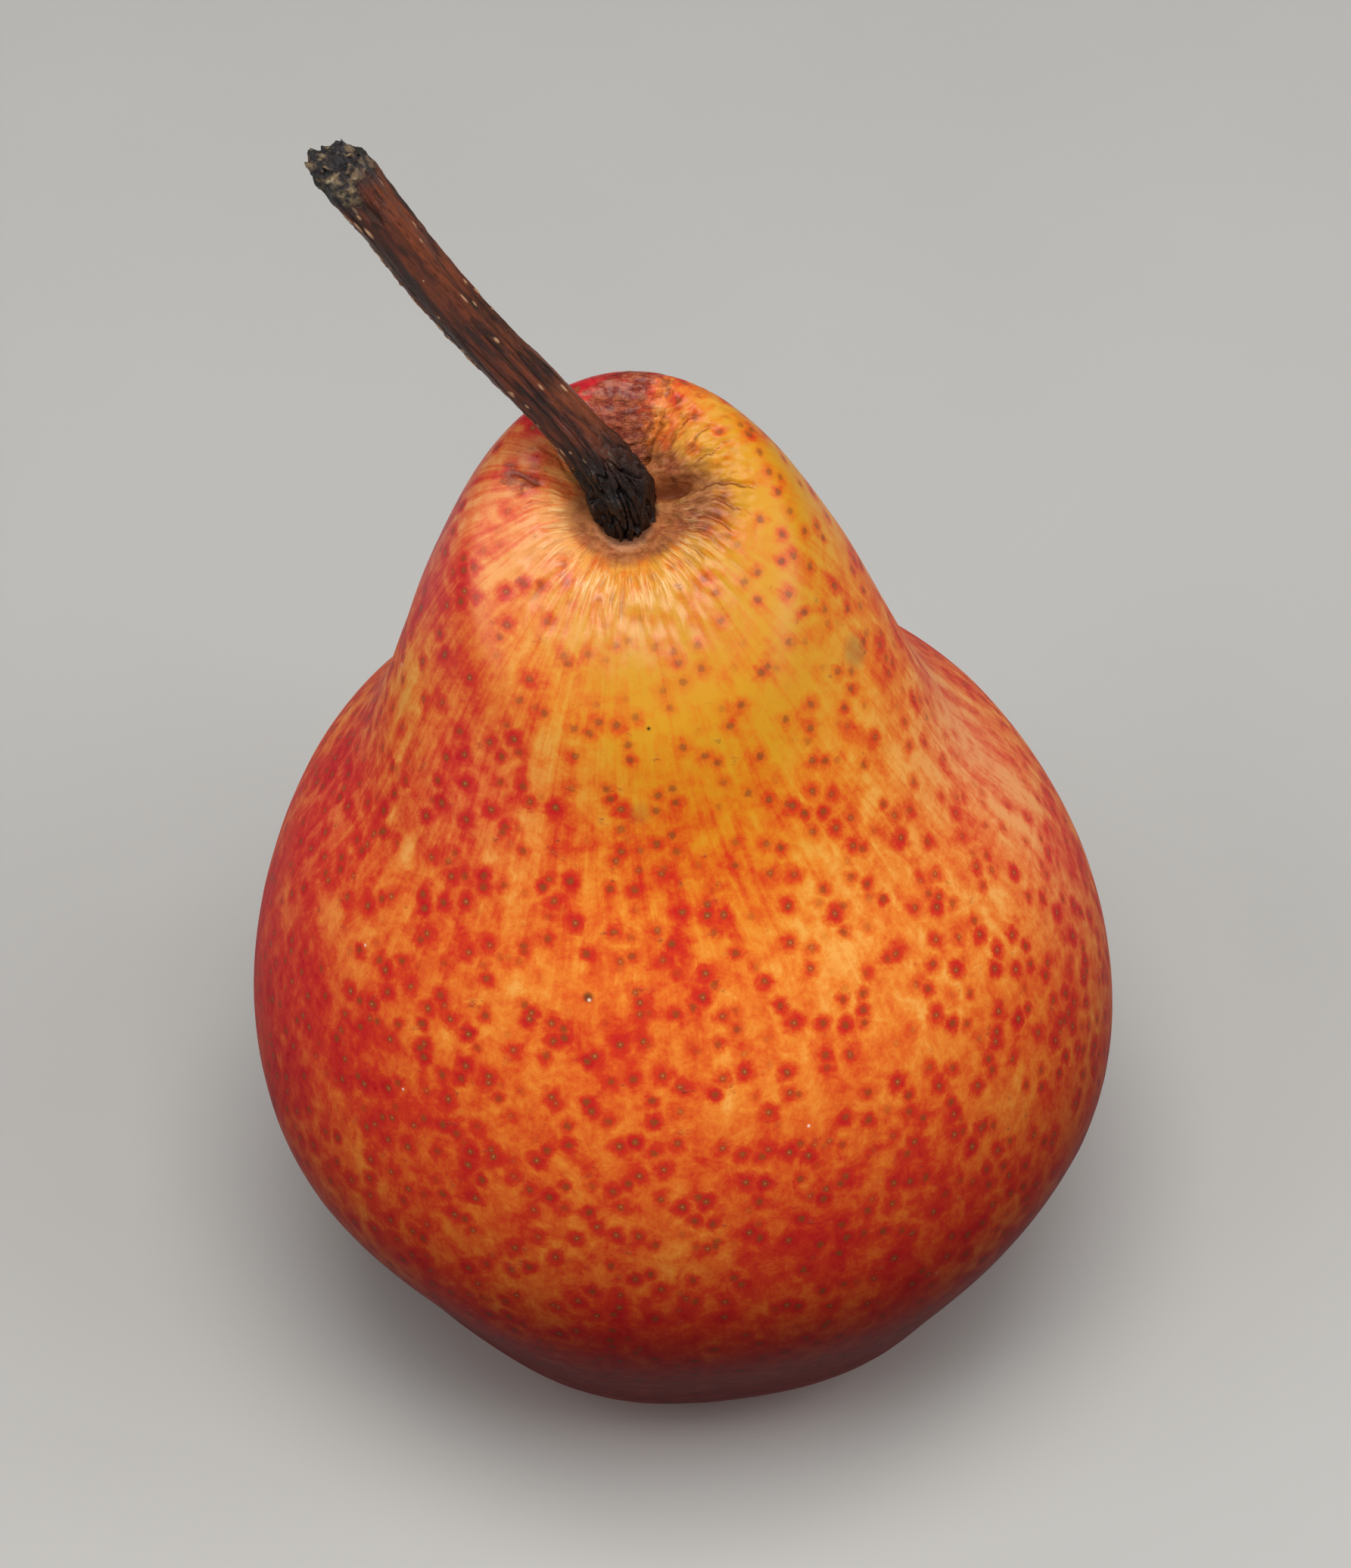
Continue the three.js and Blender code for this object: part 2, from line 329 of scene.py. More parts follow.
def wrinkles(point):
    """Height of the puckered skin round the stem."""
    distance, bearing = round_stem(point)
    if distance > 26 or point.z < 55:
        return 0
    fade = gathers(distance, bearing)
    fine = 1 - 2.6 * abs(ring_noise(bearing, distance, 58, 0.55, 3))
    finer = ring_noise(bearing, distance, 125, 0.55, 7)
    broad = ring_noise(bearing, distance, 22, 0.2, 9)
    height = fade * (0.085 * fine + 0.13 * finer + 0.05 * broad)
    # Behind the stem the skin is creased across instead, like a bent sleeve.
    behind = smooth(0.35, 0.8, math.cos(angle_between(bearing, 95))) * (1 - smooth(6, 9, distance))
    creases = noise.noise(Vector((point.x * 0.6, point.y * 1.5, point.z * 1.5)))
    crinkle = noise.noise(point * 1.3)
    height += behind * (0.15 * creases + 0.06 * crinkle)
    right = smooth(0.3, 0.9, math.cos(angle_between(bearing, 35))) * (1 - smooth(7, 12, distance))
    slanted = Vector((point.x * 0.9 + point.y * 0.9, point.y * 2.4 - point.x * 1.2, point.z * 2))
    height += right * (0.15 * noise.noise(slanted) + 0.07 * crinkle)
    depth, lip = crease_at(distance, bearing)
    return height + 0.3 * lip - depth


def fruit_relief(point):
    """The skin's own unevenness, kept just below the full round, and its wrinkles."""
    lift = smooth(1.5, 6, point.z)
    uneven = 0.1 * (noise.noise(point * 0.07) - 0.6) + 0.025 * noise.noise(point * 0.3)
    return lift * uneven + wrinkles(point)


def sink_socket(point):
    """Turns the skin down into the socket that the stem stands in, past a low lip."""
    distance, bearing = round_stem(point)
    if distance > 6 or point.z < CROWN_ABOVE:
        return point
    wall = SOCKET_RADIUS + 0.12 * ring_noise(bearing, 0, 9, 0, 5)
    lip = 0.16 * math.exp(-(((distance - wall - 0.7) / 0.45) ** 2))
    drop = SOCKET_DEPTH * (1 - smooth(wall - 0.3, wall + 0.1, distance))
    return point + UP * (lip - drop)


# Where the sun caught the fruit or a leaf shaded it: (x, y, z, reach, more or less blush).
SUN_PATCHES = [
    (-3, -8, 72, 15, -0.24),        # golden front of the neck
    (2, -12, 63, 12, -0.13),        # and of the waist
    (-3, -13, 62, 8, 0.28),
    (6, 7, 82, 9, -0.22),           # yellow side of the crown
    (-9, 15, 85, 7, 0.5),           # crimson far rim
    (-20, 7, 75, 6, 0.26),          # red shoulder left of the stem
    (-12, 5, 80, 6, -0.44),         # and the tan skin between them
    (-17, -5, 68, 6.5, 0.28),       # red streaks down the neck's left
    (-21, -1, 66, 4, -0.34),        # with a pale gap beside them
    (-12, -18, 54, 7, -0.16),       # pale patches on the front of the belly
    (10, -19, 53, 8, -0.22),
    (-2, -19, 56, 6, 0.14),         # with orange between and beside them
    (-18, -16, 53, 6, 0.14),
    (14, -23, 44, 9, -0.04),
    (16, -27, 37, 9, 0.16),
    (-27, -10, 50, 6, -0.16),
    (-32, -6, 38, 16, 0.3),         # red left flank
    (23, 4, 54, 11, -0.34),         # salmon right shoulder
    (24, -12, 49, 8, -0.12),
    (30, -9, 36, 14, 0.04),         # red right flank
    (0, -30, 22, 20, 0.12),         # red under side, all round
    (0, 28, 30, 30, 0.22),
]
GOLD_PATCHES = [
    (-3, -8, 72, 10, 0.9), (8, -4, 72, 12, 0.8), (5, 8, 82, 8, 1), (2, -14, 62, 8, 0.5),
    (-21.5, -1, 66, 3.5, 0.5),
]
# Where the blush is pinker: the far rim, the crown's left, the left flank and the right shoulder.
ROSY_PATCHES = [
    (-9, 15, 85, 7, 0.8), (-20, 8, 76, 8, 0.7), (-33, -5, 42, 14, 0.3), (-28, 2, 54, 8, 0.35),
    (-17, -8, 63, 7, 0.35), (-12, 3, 79, 5, 0.3), (23, 5, 55, 10, 0.7), (32, 0, 45, 8, 0.4),
]
# Where few freckles show: the right shoulder, and the puckered skin in front and left of the stem.
FAINT_PATCHES = [
    (23, 5, 55, 10, 0.8), (-4, -2, 77, 6, 0.6), (-11, 4, 79.5, 4, 0.5), (-4.7, 5.5, 81, 4, 0.9),
]
RUSSET_PATCHES = [
    (-4.2, 7.9, 82, 2, 0.6), (-4.8, 10.2, 83.7, 2.5, 0.66), (-4, 12.6, 85.3, 2.4, 0.36),
    (-7, 11.5, 84.8, 2, 0.26), (-2.4, 13.4, 86, 2.2, 0.3), (-12.6, 6.2, 81.2, 1.5, 0.6),
]
GREY_PATCHES = [(0.2, 4.8, 80.2, 3.4, 1), (-1.4, 6.6, 80.6, 2, 0.4), (-9, 3.2, 79.3, 2.6, 0.3)]
GREY_RING = 5.4                 # the tint right round the root fades out this far from its middle
AROUND_STEM = 65                # what lies round the stem is painted above this height only
FAR_AWAY = 40                   # stands for the distance from the stem below that
MERIDIAN_RADIUS = 30            # streaks are drawn on a cylinder this wide, to run up the fruit


def patches_at(point, patches):
    """The patches' amounts at a place, each fading out from its middle."""
    amount = 0
    for x, y, z, reach, change in patches:
        amount += change * math.exp(-((point - Vector((x, y, z))).length_squared / reach ** 2))
    return amount


def blush_at(point):
    """How much red wash the skin carries, from 0 to 1, before its mottling."""
    under = 0.25 * (1 - smooth(6, 40, point.z))
    amount = 0.37 + under - 0.04 * smooth(55, 70, point.z)
    return min(max(amount + patches_at(point, SUN_PATCHES), 0), 1)


def underside_shade_at(point):
    """How much painted shade darkens the red to maroon under the belly: most in front, and less at the
    calyx.
    """
    front = 1 - 0.5 * smooth(-15, 10, point.y)
    return (1 - smooth(17, 48, point.z - 0.08 * point.x)) * front * (0.35 + 0.65 * smooth(2, 9, point.z))


def waxy_at(point):
    """How waxy the skin is: most of all on the front of the crown, but not right at the stem."""
    front = 1 - 0.6 * smooth(-4, 6, point.y)
    return smooth(62, 76, point.z) * front * smooth(2.6, 6, round_stem(point)[0])


def greyed_at(point):
    """How grey-brown the skin is: in patches, and all round the root, partly as painted shade there."""
    return patches_at(point, GREY_PATCHES) + 1 - smooth(2.4, GREY_RING, round_stem(point)[0])


def paint_fruit(fruit, plain):
    """Stores what the skin's material reads: directions, distances, patches and the depth of wrinkles."""
    placed = [corner.co / MM for corner in fruit.data.vertices]
    around = [round_stem(point) for point in placed]
    crown = [point.z > AROUND_STEM for point in placed]

    def spread(name, rule, where=None):
        chosen = where or [True] * len(placed)
        paint(fruit, name, [rule(point) if here else 0 for point, here in zip(placed, chosen)])

    turns = [math.atan2(point.y, point.x) for point in plain]
    heights = [point.z / MERIDIAN_RADIUS for point in plain]
    paint(fruit, "meridian", [(math.cos(t), math.sin(t), z) for t, z in zip(turns, heights)])
    paint(fruit, "ringward", [(math.cos(bearing), math.sin(bearing), away if top else FAR_AWAY)
                              for (away, bearing), top in zip(around, crown)])
    paint(fruit, "crevice", [crease_at(*place)[0] if top else 0 for place, top in zip(around, crown)])
    spread("blush", blush_at)
    spread("gold", lambda point: min(patches_at(point, GOLD_PATCHES), 1))
    spread("rosy", lambda point: min(patches_at(point, ROSY_PATCHES), 1))
    spread("freckled", lambda point: 1 - min(patches_at(point, FAINT_PATCHES), 1))
    # deep is the painted shade that darkens the underside
    spread("deep", underside_shade_at)
    spread("waxy", waxy_at)
    spread("gathered", lambda point: gathers(*round_stem(point)), crown)
    spread("pucker", wrinkles, crown)
    spread("russet", lambda point: patches_at(point, RUSSET_PATCHES), crown)
    spread("greyed", greyed_at, crown)


def make_fruit():
    fruit = turn_piece("pear_fruit", outline_rows(), FRUIT_SIDES)
    plain = [corner.co / MM for corner in fruit.data.vertices]
    reshape(fruit, shape_fruit)
    emboss(fruit, fruit_relief)
    reshape(fruit, sink_socket)
    paint_fruit(fruit, plain)
    return fruit


# ---- Stem -----------------------------------------------------------------------------------------
def measured_path(points, steps=60):
    """Points and directions at even steps along a smooth curve, with the distance to each."""
    ends = [tuple(2 * a - b for a, b in zip(points[0], points[1]))]
    ends.append(tuple(2 * a - b for a, b in zip(points[-1], points[-2])))
    through = [ends[0], *points, ends[1]]
    places = [Vector(curve_at(through, 1 + i / steps)) for i in range(steps * (len(points) - 1) + 1)]
    travelled = [0]
    for a, b in zip(places, places[1:]):
        travelled.append(travelled[-1] + (b - a).length)
    return places, travelled


def follow(path, distance):
    """The place at a distance along a measured path, and the direction there. Past its end it runs on."""
    places, travelled = path
    share = min(max(distance / travelled[-1], 0), 1) * (len(places) - 1)
    i = min(int(share), len(places) - 2)
    while i > 0 and travelled[i] > distance:
        i -= 1
    while i < len(places) - 2 and travelled[i + 1] < distance:
        i += 1
    forward = (places[i + 1] - places[i]).normalized()
    return places[i] + forward * (distance - travelled[i]), forward


def lay_along(piece, path):
    """Lays a piece that stands on +Z along a path, its height becoming the distance travelled."""
    def rule(point):
        middle, forward = follow(path, point.z)
        side = Vector((0, 1, 0)).cross(forward).normalized()
        return middle + side * point.x + forward.cross(side) * point.y
    reshape(piece, rule)


def stem_profile():
    """The stem's side in short steps, then its broken end, sunk towards the middle."""
    last = len(STEM_THICKNESS) - 1
    rows = round(STEM_END / STEM_STEP)
    side = [curve_at(STEM_THICKNESS, last * i / rows) for i in range(rows + 1)]
    tip = [(1.7, 0.3), (1.5, 0.4), (1.3, 0.4), (1.1, 0.35), (0.85, 0.3), (0.6, 0.25), (0.3, 0.2), (0, 0.2)]
    return [(0, 0), (1.2, 0.05), *side, *[(radius, STEM_END + rise) for radius, rise in tip]]


def stem_marks():
    """Raised pale pores along the stem: (direction, distance along, half width, half length, rise)."""
    dice = random.Random(11)
    marks = []
    for i in range(150):
        direction = dice.gauss(212, 20) if i % 5 else dice.uniform(-180, 180)
        marks.append((direction, dice.uniform(10, 39.5), dice.uniform(0.07, 0.15), dice.uniform(0.12, 0.55),
                      dice.uniform(0.04, 0.1)))
    return marks


STEM_MARKS = stem_marks()


def mark_at(turn, along, radius):
    """How far a place on the stem is up the nearest raised pore, and the rise there."""
    strength = rise = 0
    for direction, at, half, long, height in STEM_MARKS:
        if abs(along - at) < 3 * long:
            off = angle_between(turn, direction) * radius
            bump = math.exp(-((off / half) ** 2) - ((along - at) / long) ** 2)
            strength, rise = max(strength, bump), rise + height * bump
    return strength, rise


def furrow_at(turn, along):
    """Depth of the long furrows in the bark, from 0 to 1."""
    twist = turn - math.radians(STEM_TWIST * along)
    grain = noise.noise(Vector((1.5 * math.cos(twist), 1.5 * math.sin(twist), along * 0.07 + 4)))
    fine = noise.noise(Vector((3.4 * math.cos(twist), 3.4 * math.sin(twist), along * 0.16 + 9)))
    line = noise.noise(Vector((2.2 * math.cos(twist), 2.2 * math.sin(twist), along * 0.05 + 14)))
    grooves = smooth(0.05, 0.4, -grain) * 0.5 + smooth(0.1, 0.5, -fine) * 0.4
    return grooves + smooth(0.07, 0, abs(line)) * 0.6


def shape_stem(point):
    """The ridged, furrowed bark with a knobbly root and a crumbling end, before it is bent."""
    radius = math.hypot(point.x, point.y)
    if radius == 0:
        return point
    turn = math.atan2(point.y, point.x)
    along = point.z
    swell = sum(share * math.cos(n * angle_between(turn, crest + STEM_TWIST * along))
                for n, share, crest in STEM_RIDGES)
    around = angle_between(turn, KNOB["direction"]) / math.radians(KNOB["wide"])
    knob = KNOB["rise"] * math.exp(-(around ** 2) - ((along - KNOB["at"]) / KNOB["long"]) ** 2)
    skin = min(radius / 1.9, 1)                    # the end's inner rings move less than the bark
    rough = Vector((point.x, point.y, along * 0.6))
    root = 1 - smooth(ROOT_END - 3, ROOT_END + 2, along)
    crust = smooth(CRUST_START, CRUST_START + 1.5, along)
    sides = 0.04 * noise.noise(rough * 1.3) - 0.2 * furrow_at(turn, along) * (1 - 0.6 * crust)
    sides += 0.03 * noise.noise(rough * 3)
    stretched = Vector((point.x, point.y, along * 0.3))
    gnarl = 0.3 * noise.noise(rough * 1.1 + UP * 7)
    gnarl -= 0.7 * smooth(0.16, 0, abs(noise.noise(stretched * 1.5)))
    sides += root * (gnarl + 0.16 * noise.noise(stretched * 3.6))
    sides += crust * (0.36 * noise.noise(point * 1.4) + 0.2 * noise.noise(point * 2.8) - 0.06)
    sides += mark_at(turn, along, radius)[1] * (1 - crust)
    wide = radius * (1 + swell * skin) + skin * (knob + sides)
    crumble = crust * smooth(STEM_END - 1.2, STEM_END + 0.3, along)
    down = crumble * (0.7 * noise.noise(point * 1.1 + UP * 3) + 0.4 * noise.noise(point * 2.6) - 0.1)
    down -= crumble * 0.75 * math.cos(turn) * skin
    return Vector((wide * math.cos(turn), wide * math.sin(turn), along + down))


def make_stem():
    stem = turn_piece("pear_stem", stem_profile(), STEM_SIDES)
    plain = [corner.co / MM for corner in stem.data.vertices]
    reshape(stem, shape_stem)
    straight = [corner.co / MM for corner in stem.data.vertices]
    turns = [math.atan2(point.y, point.x) for point in plain]
    paint(stem, "straight", [tuple(point) for point in straight])
    paint(stem, "furrow", [furrow_at(t, p.z) for t, p in zip(turns, plain)])
    paint(stem, "pore", [mark_at(t, p.z, 2)[0] for t, p in zip(turns, plain)])
    lay_along(stem, measured_path(STEM_PATH))
    return stem


# ---- Calyx ----------------------------------------------------------------------------------------
# The cup's side: (radius, height).
CALYX_CUP = [
    (0, 6.2), (1.4, 6.1), (1.8, 5.2), (1.95, 4), (1.9, 3.2), (1.6, 2.6), (1.35, 2.55),
    (1.1, 2.9), (0.7, 3.3), (0, 3.4),
]
SEPAL_PATH = [(1.1, 0, 3), (2.4, 0, 2.75), (3.6, 0, 2.3), (4.5, 0, 1.5), (4.75, 0, 1)]
# Half a sepal's width, and the distance from its root.
SEPAL_HALF_WIDTH = [(0.9, 0), (1.15, 1.3), (0.95, 2.5), (0.5, 3.6), (0.12, 4.3)]
SEPAL_LENGTH = 4.3
SEPAL_THICKNESS = 0.25


def make_cup():
    cup = turn_piece("calyx_cup", CALYX_CUP[::-1], 48)
    reshape(cup, lambda point: point + point * 0.05 * noise.noise(point * 1.7))
    return cup


def make_sepal(turn, seed):
    """A withered leaf of the calyx: curled down at its tip, with a fold along its middle."""
    bpy.ops.object.select_all(action="DESELECT")
    bpy.ops.mesh.primitive_grid_add(x_subdivisions=10, y_subdivisions=28, size=MM)
    leaf = bpy.context.object
    path = measured_path(SEPAL_PATH)
    last = len(SEPAL_HALF_WIDTH) - 1

    def rule(point):
        share = point.y + 0.5
        half = curve_at([(w,) for w, _ in SEPAL_HALF_WIDTH], share * last)[0]
        half *= 1 + 0.16 * noise.noise(Vector((seed, share * 5, point.x)))
        across = 2 * point.x * half
        middle, forward = follow(path, share * SEPAL_LENGTH)
        side = UP.cross(forward).normalized()
        lift = 0.3 * (across / max(half, 0.1)) ** 2 * half
        lift += 0.12 * noise.noise(Vector((across * 2, share * 7, seed)))
        return middle + side * across + forward.cross(side) * lift

    reshape(leaf, rule)
    bpy.ops.object.mode_set(mode="EDIT")
    bpy.ops.mesh.select_all(action="SELECT")
    bpy.ops.transform.rotate(value=turn, orient_axis="Z", center_override=(0, 0, 0))
    bpy.ops.mesh.normals_make_consistent(inside=False)
    bpy.ops.object.mode_set(mode="OBJECT")
    finish_with(leaf, "SOLIDIFY", thickness=SEPAL_THICKNESS * MM, offset=0)
    finish_with(leaf, "SUBSURF", levels=1, render_levels=1)
    return leaf


def make_stamen(turn, seed):
    """A dried thread that rises from the cup, with a shrivelled head."""
    sides = [(0, 0), (0.16, 0.02), (0.12, 0.5), (0.1, 1.1), (0.12, 1.35), (0.24, 1.5), (0.26, 1.75),
             (0.15, 1.95), (0, 2)]
    thread = turn_piece("stamen", sides, 10)
    dice = random.Random(seed)
    lean = math.radians(dice.uniform(10, 30))
    foot = Vector((0.9, 0, 3.2))

    def rule(point):
        bend = lean * point.z / 2
        hung = Vector((point.x + math.sin(bend) * point.z, point.y, -point.z * math.cos(bend)))
        hung += foot
        return Vector((hung.x * math.cos(turn) - hung.y * math.sin(turn),
                       hung.x * math.sin(turn) + hung.y * math.cos(turn), hung.z))

    reshape(thread, rule)
    return thread


def make_calyx():
    cup = make_cup()
    leaves = [make_sepal(2 * math.pi * i / SEPALS, i) for i in range(SEPALS)]
    threads = [make_stamen(2 * math.pi * (i + 0.4) / STAMENS, i) for i in range(STAMENS)]
    bpy.ops.object.select_all(action="DESELECT")
    for piece in (cup, *leaves, *threads):
        piece.select_set(True)
    bpy.context.view_layer.objects.active = cup
    bpy.ops.object.join()
    cup.name = cup.data.name = "pear_calyx"
    middle = Vector((*CORE_LINE[0], 0))
    reshape(cup, lambda point: point + middle)
    bpy.ops.object.mode_set(mode="EDIT")
    bpy.ops.mesh.select_all(action="SELECT")
    bpy.ops.mesh.normals_make_consistent(inside=False)
    bpy.ops.object.mode_set(mode="OBJECT")
    bpy.ops.object.shade_smooth()
    return cup


# ---- Shader maths ---------------------------------------------------------------------------------
class Wire:
    """A number from a node; sums and products of it add Math nodes beside it."""

    def __init__(self, finish, socket):
        self.finish, self.socket = finish, socket

    def __add__(self, other):
        return self.finish.maths("ADD", self, other)

    def __sub__(self, other):
        return self.finish.maths("SUBTRACT", self, other)

    def __rsub__(self, other):
        return self.finish.maths("SUBTRACT", other, self)

    def __mul__(self, other):
        return self.finish.maths("MULTIPLY", self, other)

    def __truediv__(self, other):
        return self.finish.maths("DIVIDE", self, other)

    __radd__ = __add__
    __rmul__ = __mul__


class Finish:
    """A material, and the nodes that its surface is worked out with."""

    def __init__(self, name):
        self.material = bpy.data.materials.new(name)
        self.material.use_nodes = True
        self.tree = self.material.node_tree
        self.shader = self.tree.nodes["Principled BSDF"]

    def node(self, kind, settings, values):
        """Adds a node: its settings first, then a number, colour or link for each socket."""
        made = self.tree.nodes.new(kind)
        for name, value in settings.items():
            if name == "stops":
                self.set_stops(made.color_ramp, value)
            else:
                setattr(made, name, value)
        for socket, value in values.items():
            self.feed(made.inputs[socket], value)
        return made

    def feed(self, socket, value):
        if isinstance(value, Wire):
            self.tree.links.new(value.socket, socket)
        elif isinstance(value, bpy.types.NodeSocket):
            self.tree.links.new(value, socket)
        else:
            socket.default_value = value

    def set_stops(self, ramp, stops):
        while len(ramp.elements) < len(stops):
            ramp.elements.new(1)
        for element, (place, colour) in zip(ramp.elements, stops):
            element.position = place
            element.color = colour

    def maths(self, operation, *values):
        made = self.node("ShaderNodeMath", {"operation": operation}, dict(enumerate(values)))
        return Wire(self, made.outputs[0])

    def vectors(self, operation, a, b):
        return self.node("ShaderNodeVectorMath", {"operation": operation}, {0: a, 1: b}).outputs["Vector"]

    def length(self, a):
        made = self.node("ShaderNodeVectorMath", {"operation": "LENGTH"}, {0: a})
        return Wire(self, made.outputs["Value"])

    def dot(self, a, b):
        made = self.node("ShaderNodeVectorMath", {"operation": "DOT_PRODUCT"}, {0: a, 1: b})
        return Wire(self, made.outputs["Value"])

    def scaled(self, a, by):
        made = self.node("ShaderNodeVectorMath", {"operation": "SCALE"}, {0: a, "Scale": by})
        return made.outputs["Vector"]

    def part(self, a, axis):
        """One of a vector's three numbers: 0 is x, 1 is y and 2 is z."""
        return Wire(self, self.node("ShaderNodeSeparateXYZ", {}, {0: a}).outputs[axis])

    def mix(self, share, a, b, blend="MIX"):
        """Colour a, turned into colour b by a share from 0 to 1."""
        settings = {"data_type": "RGBA", "blend_type": blend, "clamp_factor": True}
        return self.node("ShaderNodeMix", settings, {0: share, 6: a, 7: b}).outputs[2]

    def step(self, low, high, value):
        """0 below low and 1 above high, with a soft step between. High may be the lower one."""
        settings = {"interpolation_type": "SMOOTHSTEP"}
        if low < high:
            made = self.node("ShaderNodeMapRange", settings, {0: value, 1: low, 2: high, 3: 0, 4: 1})
        else:
            made = self.node("ShaderNodeMapRange", settings, {0: value, 1: high, 2: low, 3: 1, 4: 0})
        return Wire(self, made.outputs[0])

    def attribute(self, name):
        return self.node("ShaderNodeAttribute", {"attribute_name": name}, {})

    def number(self, name):
        return Wire(self, self.attribute(name).outputs["Fac"])

    def vector(self, name):
        return self.attribute(name).outputs["Vector"]

    def place(self):
        """Where a point of the piece is, in millimetres."""
        coordinates = self.node("ShaderNodeTexCoord", {}, {})
        return self.scaled(coordinates.outputs["Object"], 1 / MM)

    def cloud(self, where, size, detail=2.0, roughness=0.5, distortion=0.0):
        """Soft noise about 0.5, its lumps about as large as size."""
        values = {"Vector": where, "Scale": 1 / size, "Detail": detail, "Roughness": roughness,
                  "Distortion": distortion}
        return Wire(self, self.node("ShaderNodeTexNoise", {}, values).outputs[0])

    def colours(self, value, stops):
        """A colour for each value from 0 to 1, from a list of stops."""
        ramp = [(at, srgb(*colour)) for at, colour in stops]
        return self.node("ShaderNodeValToRGB", {"stops": ramp}, {0: value}).outputs[0]

    def bump(self, height, depth=1):
        """A normal raised by a height, which the depth turns into millimetres."""
        values = {"Height": height, "Distance": depth * MM, "Strength": 1}
        return self.node("ShaderNodeBump", {}, values).outputs[0]


def srgb(red, green, blue):
    """A colour given as it looks on a screen, 0 to 255, as the linear one that materials use."""
    shares = [channel / 255 for channel in (red, green, blue)]
    return (*(((c + 0.055) / 1.055) ** 2.4 if c > 0.04 else c / 12.92 for c in shares), 1)


# ---- Skin -----------------------------------------------------------------------------------------
BELLY_STOPS = [
    (0.0, (238, 164, 80)),
    (0.2, (232, 134, 50)),
    (0.4, (223, 102, 38)),
    (0.6, (210, 62, 32)),
    (0.8, (196, 36, 34)),
    (1.0, (160, 20, 26)),
]
NECK_STOPS = [
    (0.0, (212, 149, 33)),
    (0.24, (215, 130, 28)),
    (0.44, (214, 104, 26)),
    (0.66, (208, 60, 26)),
    (0.84, (196, 34, 26)),
    (1.0, (148, 16, 20)),
]
ROSY_STOPS = [
    (0.0, (230, 150, 108)),
    (0.3, (222, 106, 82)),
    (0.55, (210, 62, 64)),
    (0.8, (196, 34, 54)),
    (1.0, (154, 16, 40)),
]
FRECKLE_PITCH = 1.62
FRECKLE_LAYER = 0.56            # a freckle shows where its middle is this near the surface


def freckle(finish, where, normal, rank):
    """The nearest freckle, or the next one: distance on the skin to its middle, two random numbers of
    its own, and how fully it shows."""
    values = {"Vector": where, "Scale": 1 / FRECKLE_PITCH, "Randomness": 0.95}
    cell = finish.node("ShaderNodeTexVoronoi", {"feature": rank}, values)
    gap = finish.vectors("SUBTRACT", where, cell.outputs["Position"])
    rise = finish.dot(gap, normal)
    across = finish.length(finish.vectors("SUBTRACT", gap, finish.scaled(normal, rise)))
    shows = finish.step(FRECKLE_LAYER * 1.15, FRECKLE_LAYER * 0.6, finish.maths("ABSOLUTE", rise))
    dice = finish.node("ShaderNodeSeparateColor", {}, {0: cell.outputs["Color"]})
    return across, Wire(finish, dice.outputs[0]), Wire(finish, dice.outputs[1]), shows


def freckles(skin, where):
    """How far a place is into a freckle's red halo, its brown spot and the pale point in that."""
    normal = skin.node("ShaderNodeNewGeometry", {}, {}).outputs["Normal"]
    ragged = (skin.cloud(where, 0.7, 4, 0.72) - 0.5) * 1.1
    crumbly = (skin.cloud(where, 0.3, 2, 0.6) - 0.5) * 0.5
    halo = spot = point = 0
    for rank in ("F1", "F2"):
        across, number, other, shows = freckle(skin, where, normal, rank)
        kept = shows * skin.step(0.14, 0.26, number)
        reach = number * 0.5 + 0.66
        ring = skin.step(1.25, 0.2, (across + ragged) / reach) * kept * (other * 0.5 + 0.5)
        halo = skin.maths("MAXIMUM", halo, ring)
        spot = skin.maths("MAXIMUM", spot, skin.step(0.42, 0.12, across + crumbly) * kept)
        pale = kept * skin.step(0.5, 0.7, number)
        point = skin.maths("MAXIMUM", point, skin.step(0.14, 0.03, across + crumbly * 0.4) * pale)
    return halo, spot, point


def ground_wash(skin, where):
    """How red the skin is before its freckles: the blush, broken up by blotches and streaks."""
    meridian = skin.vector("meridian")
    height = skin.part(meridian, 2)
    on_neck = skin.step(43.5 / MERIDIAN_RADIUS, 58.5 / MERIDIAN_RADIUS, height)
    blotch = skin.cloud(where, 8, 5, 0.6, 0.8) - 0.5
    mottle = skin.cloud(where, 1.9, 6, 0.74, 0.3) - 0.5
    streak = skin.cloud(skin.vectors("MULTIPLY", meridian, (14, 14, 1.5)), 1, 3, 0.6, 0.3) - 0.5
    fibre = skin.cloud(skin.vectors("MULTIPLY", meridian, (60, 60, 9)), 1, 2, 0.6) - 0.5
    wash = skin.number("blush") + blotch + mottle * 1.25
    rosy = skin.number("rosy")
    lines = streak * (on_neck * 0.66 + rosy * 0.4 + 0.25) + fibre * (on_neck * 0.12 + rosy * 0.5 + 0.05)
    return wash + lines, mottle
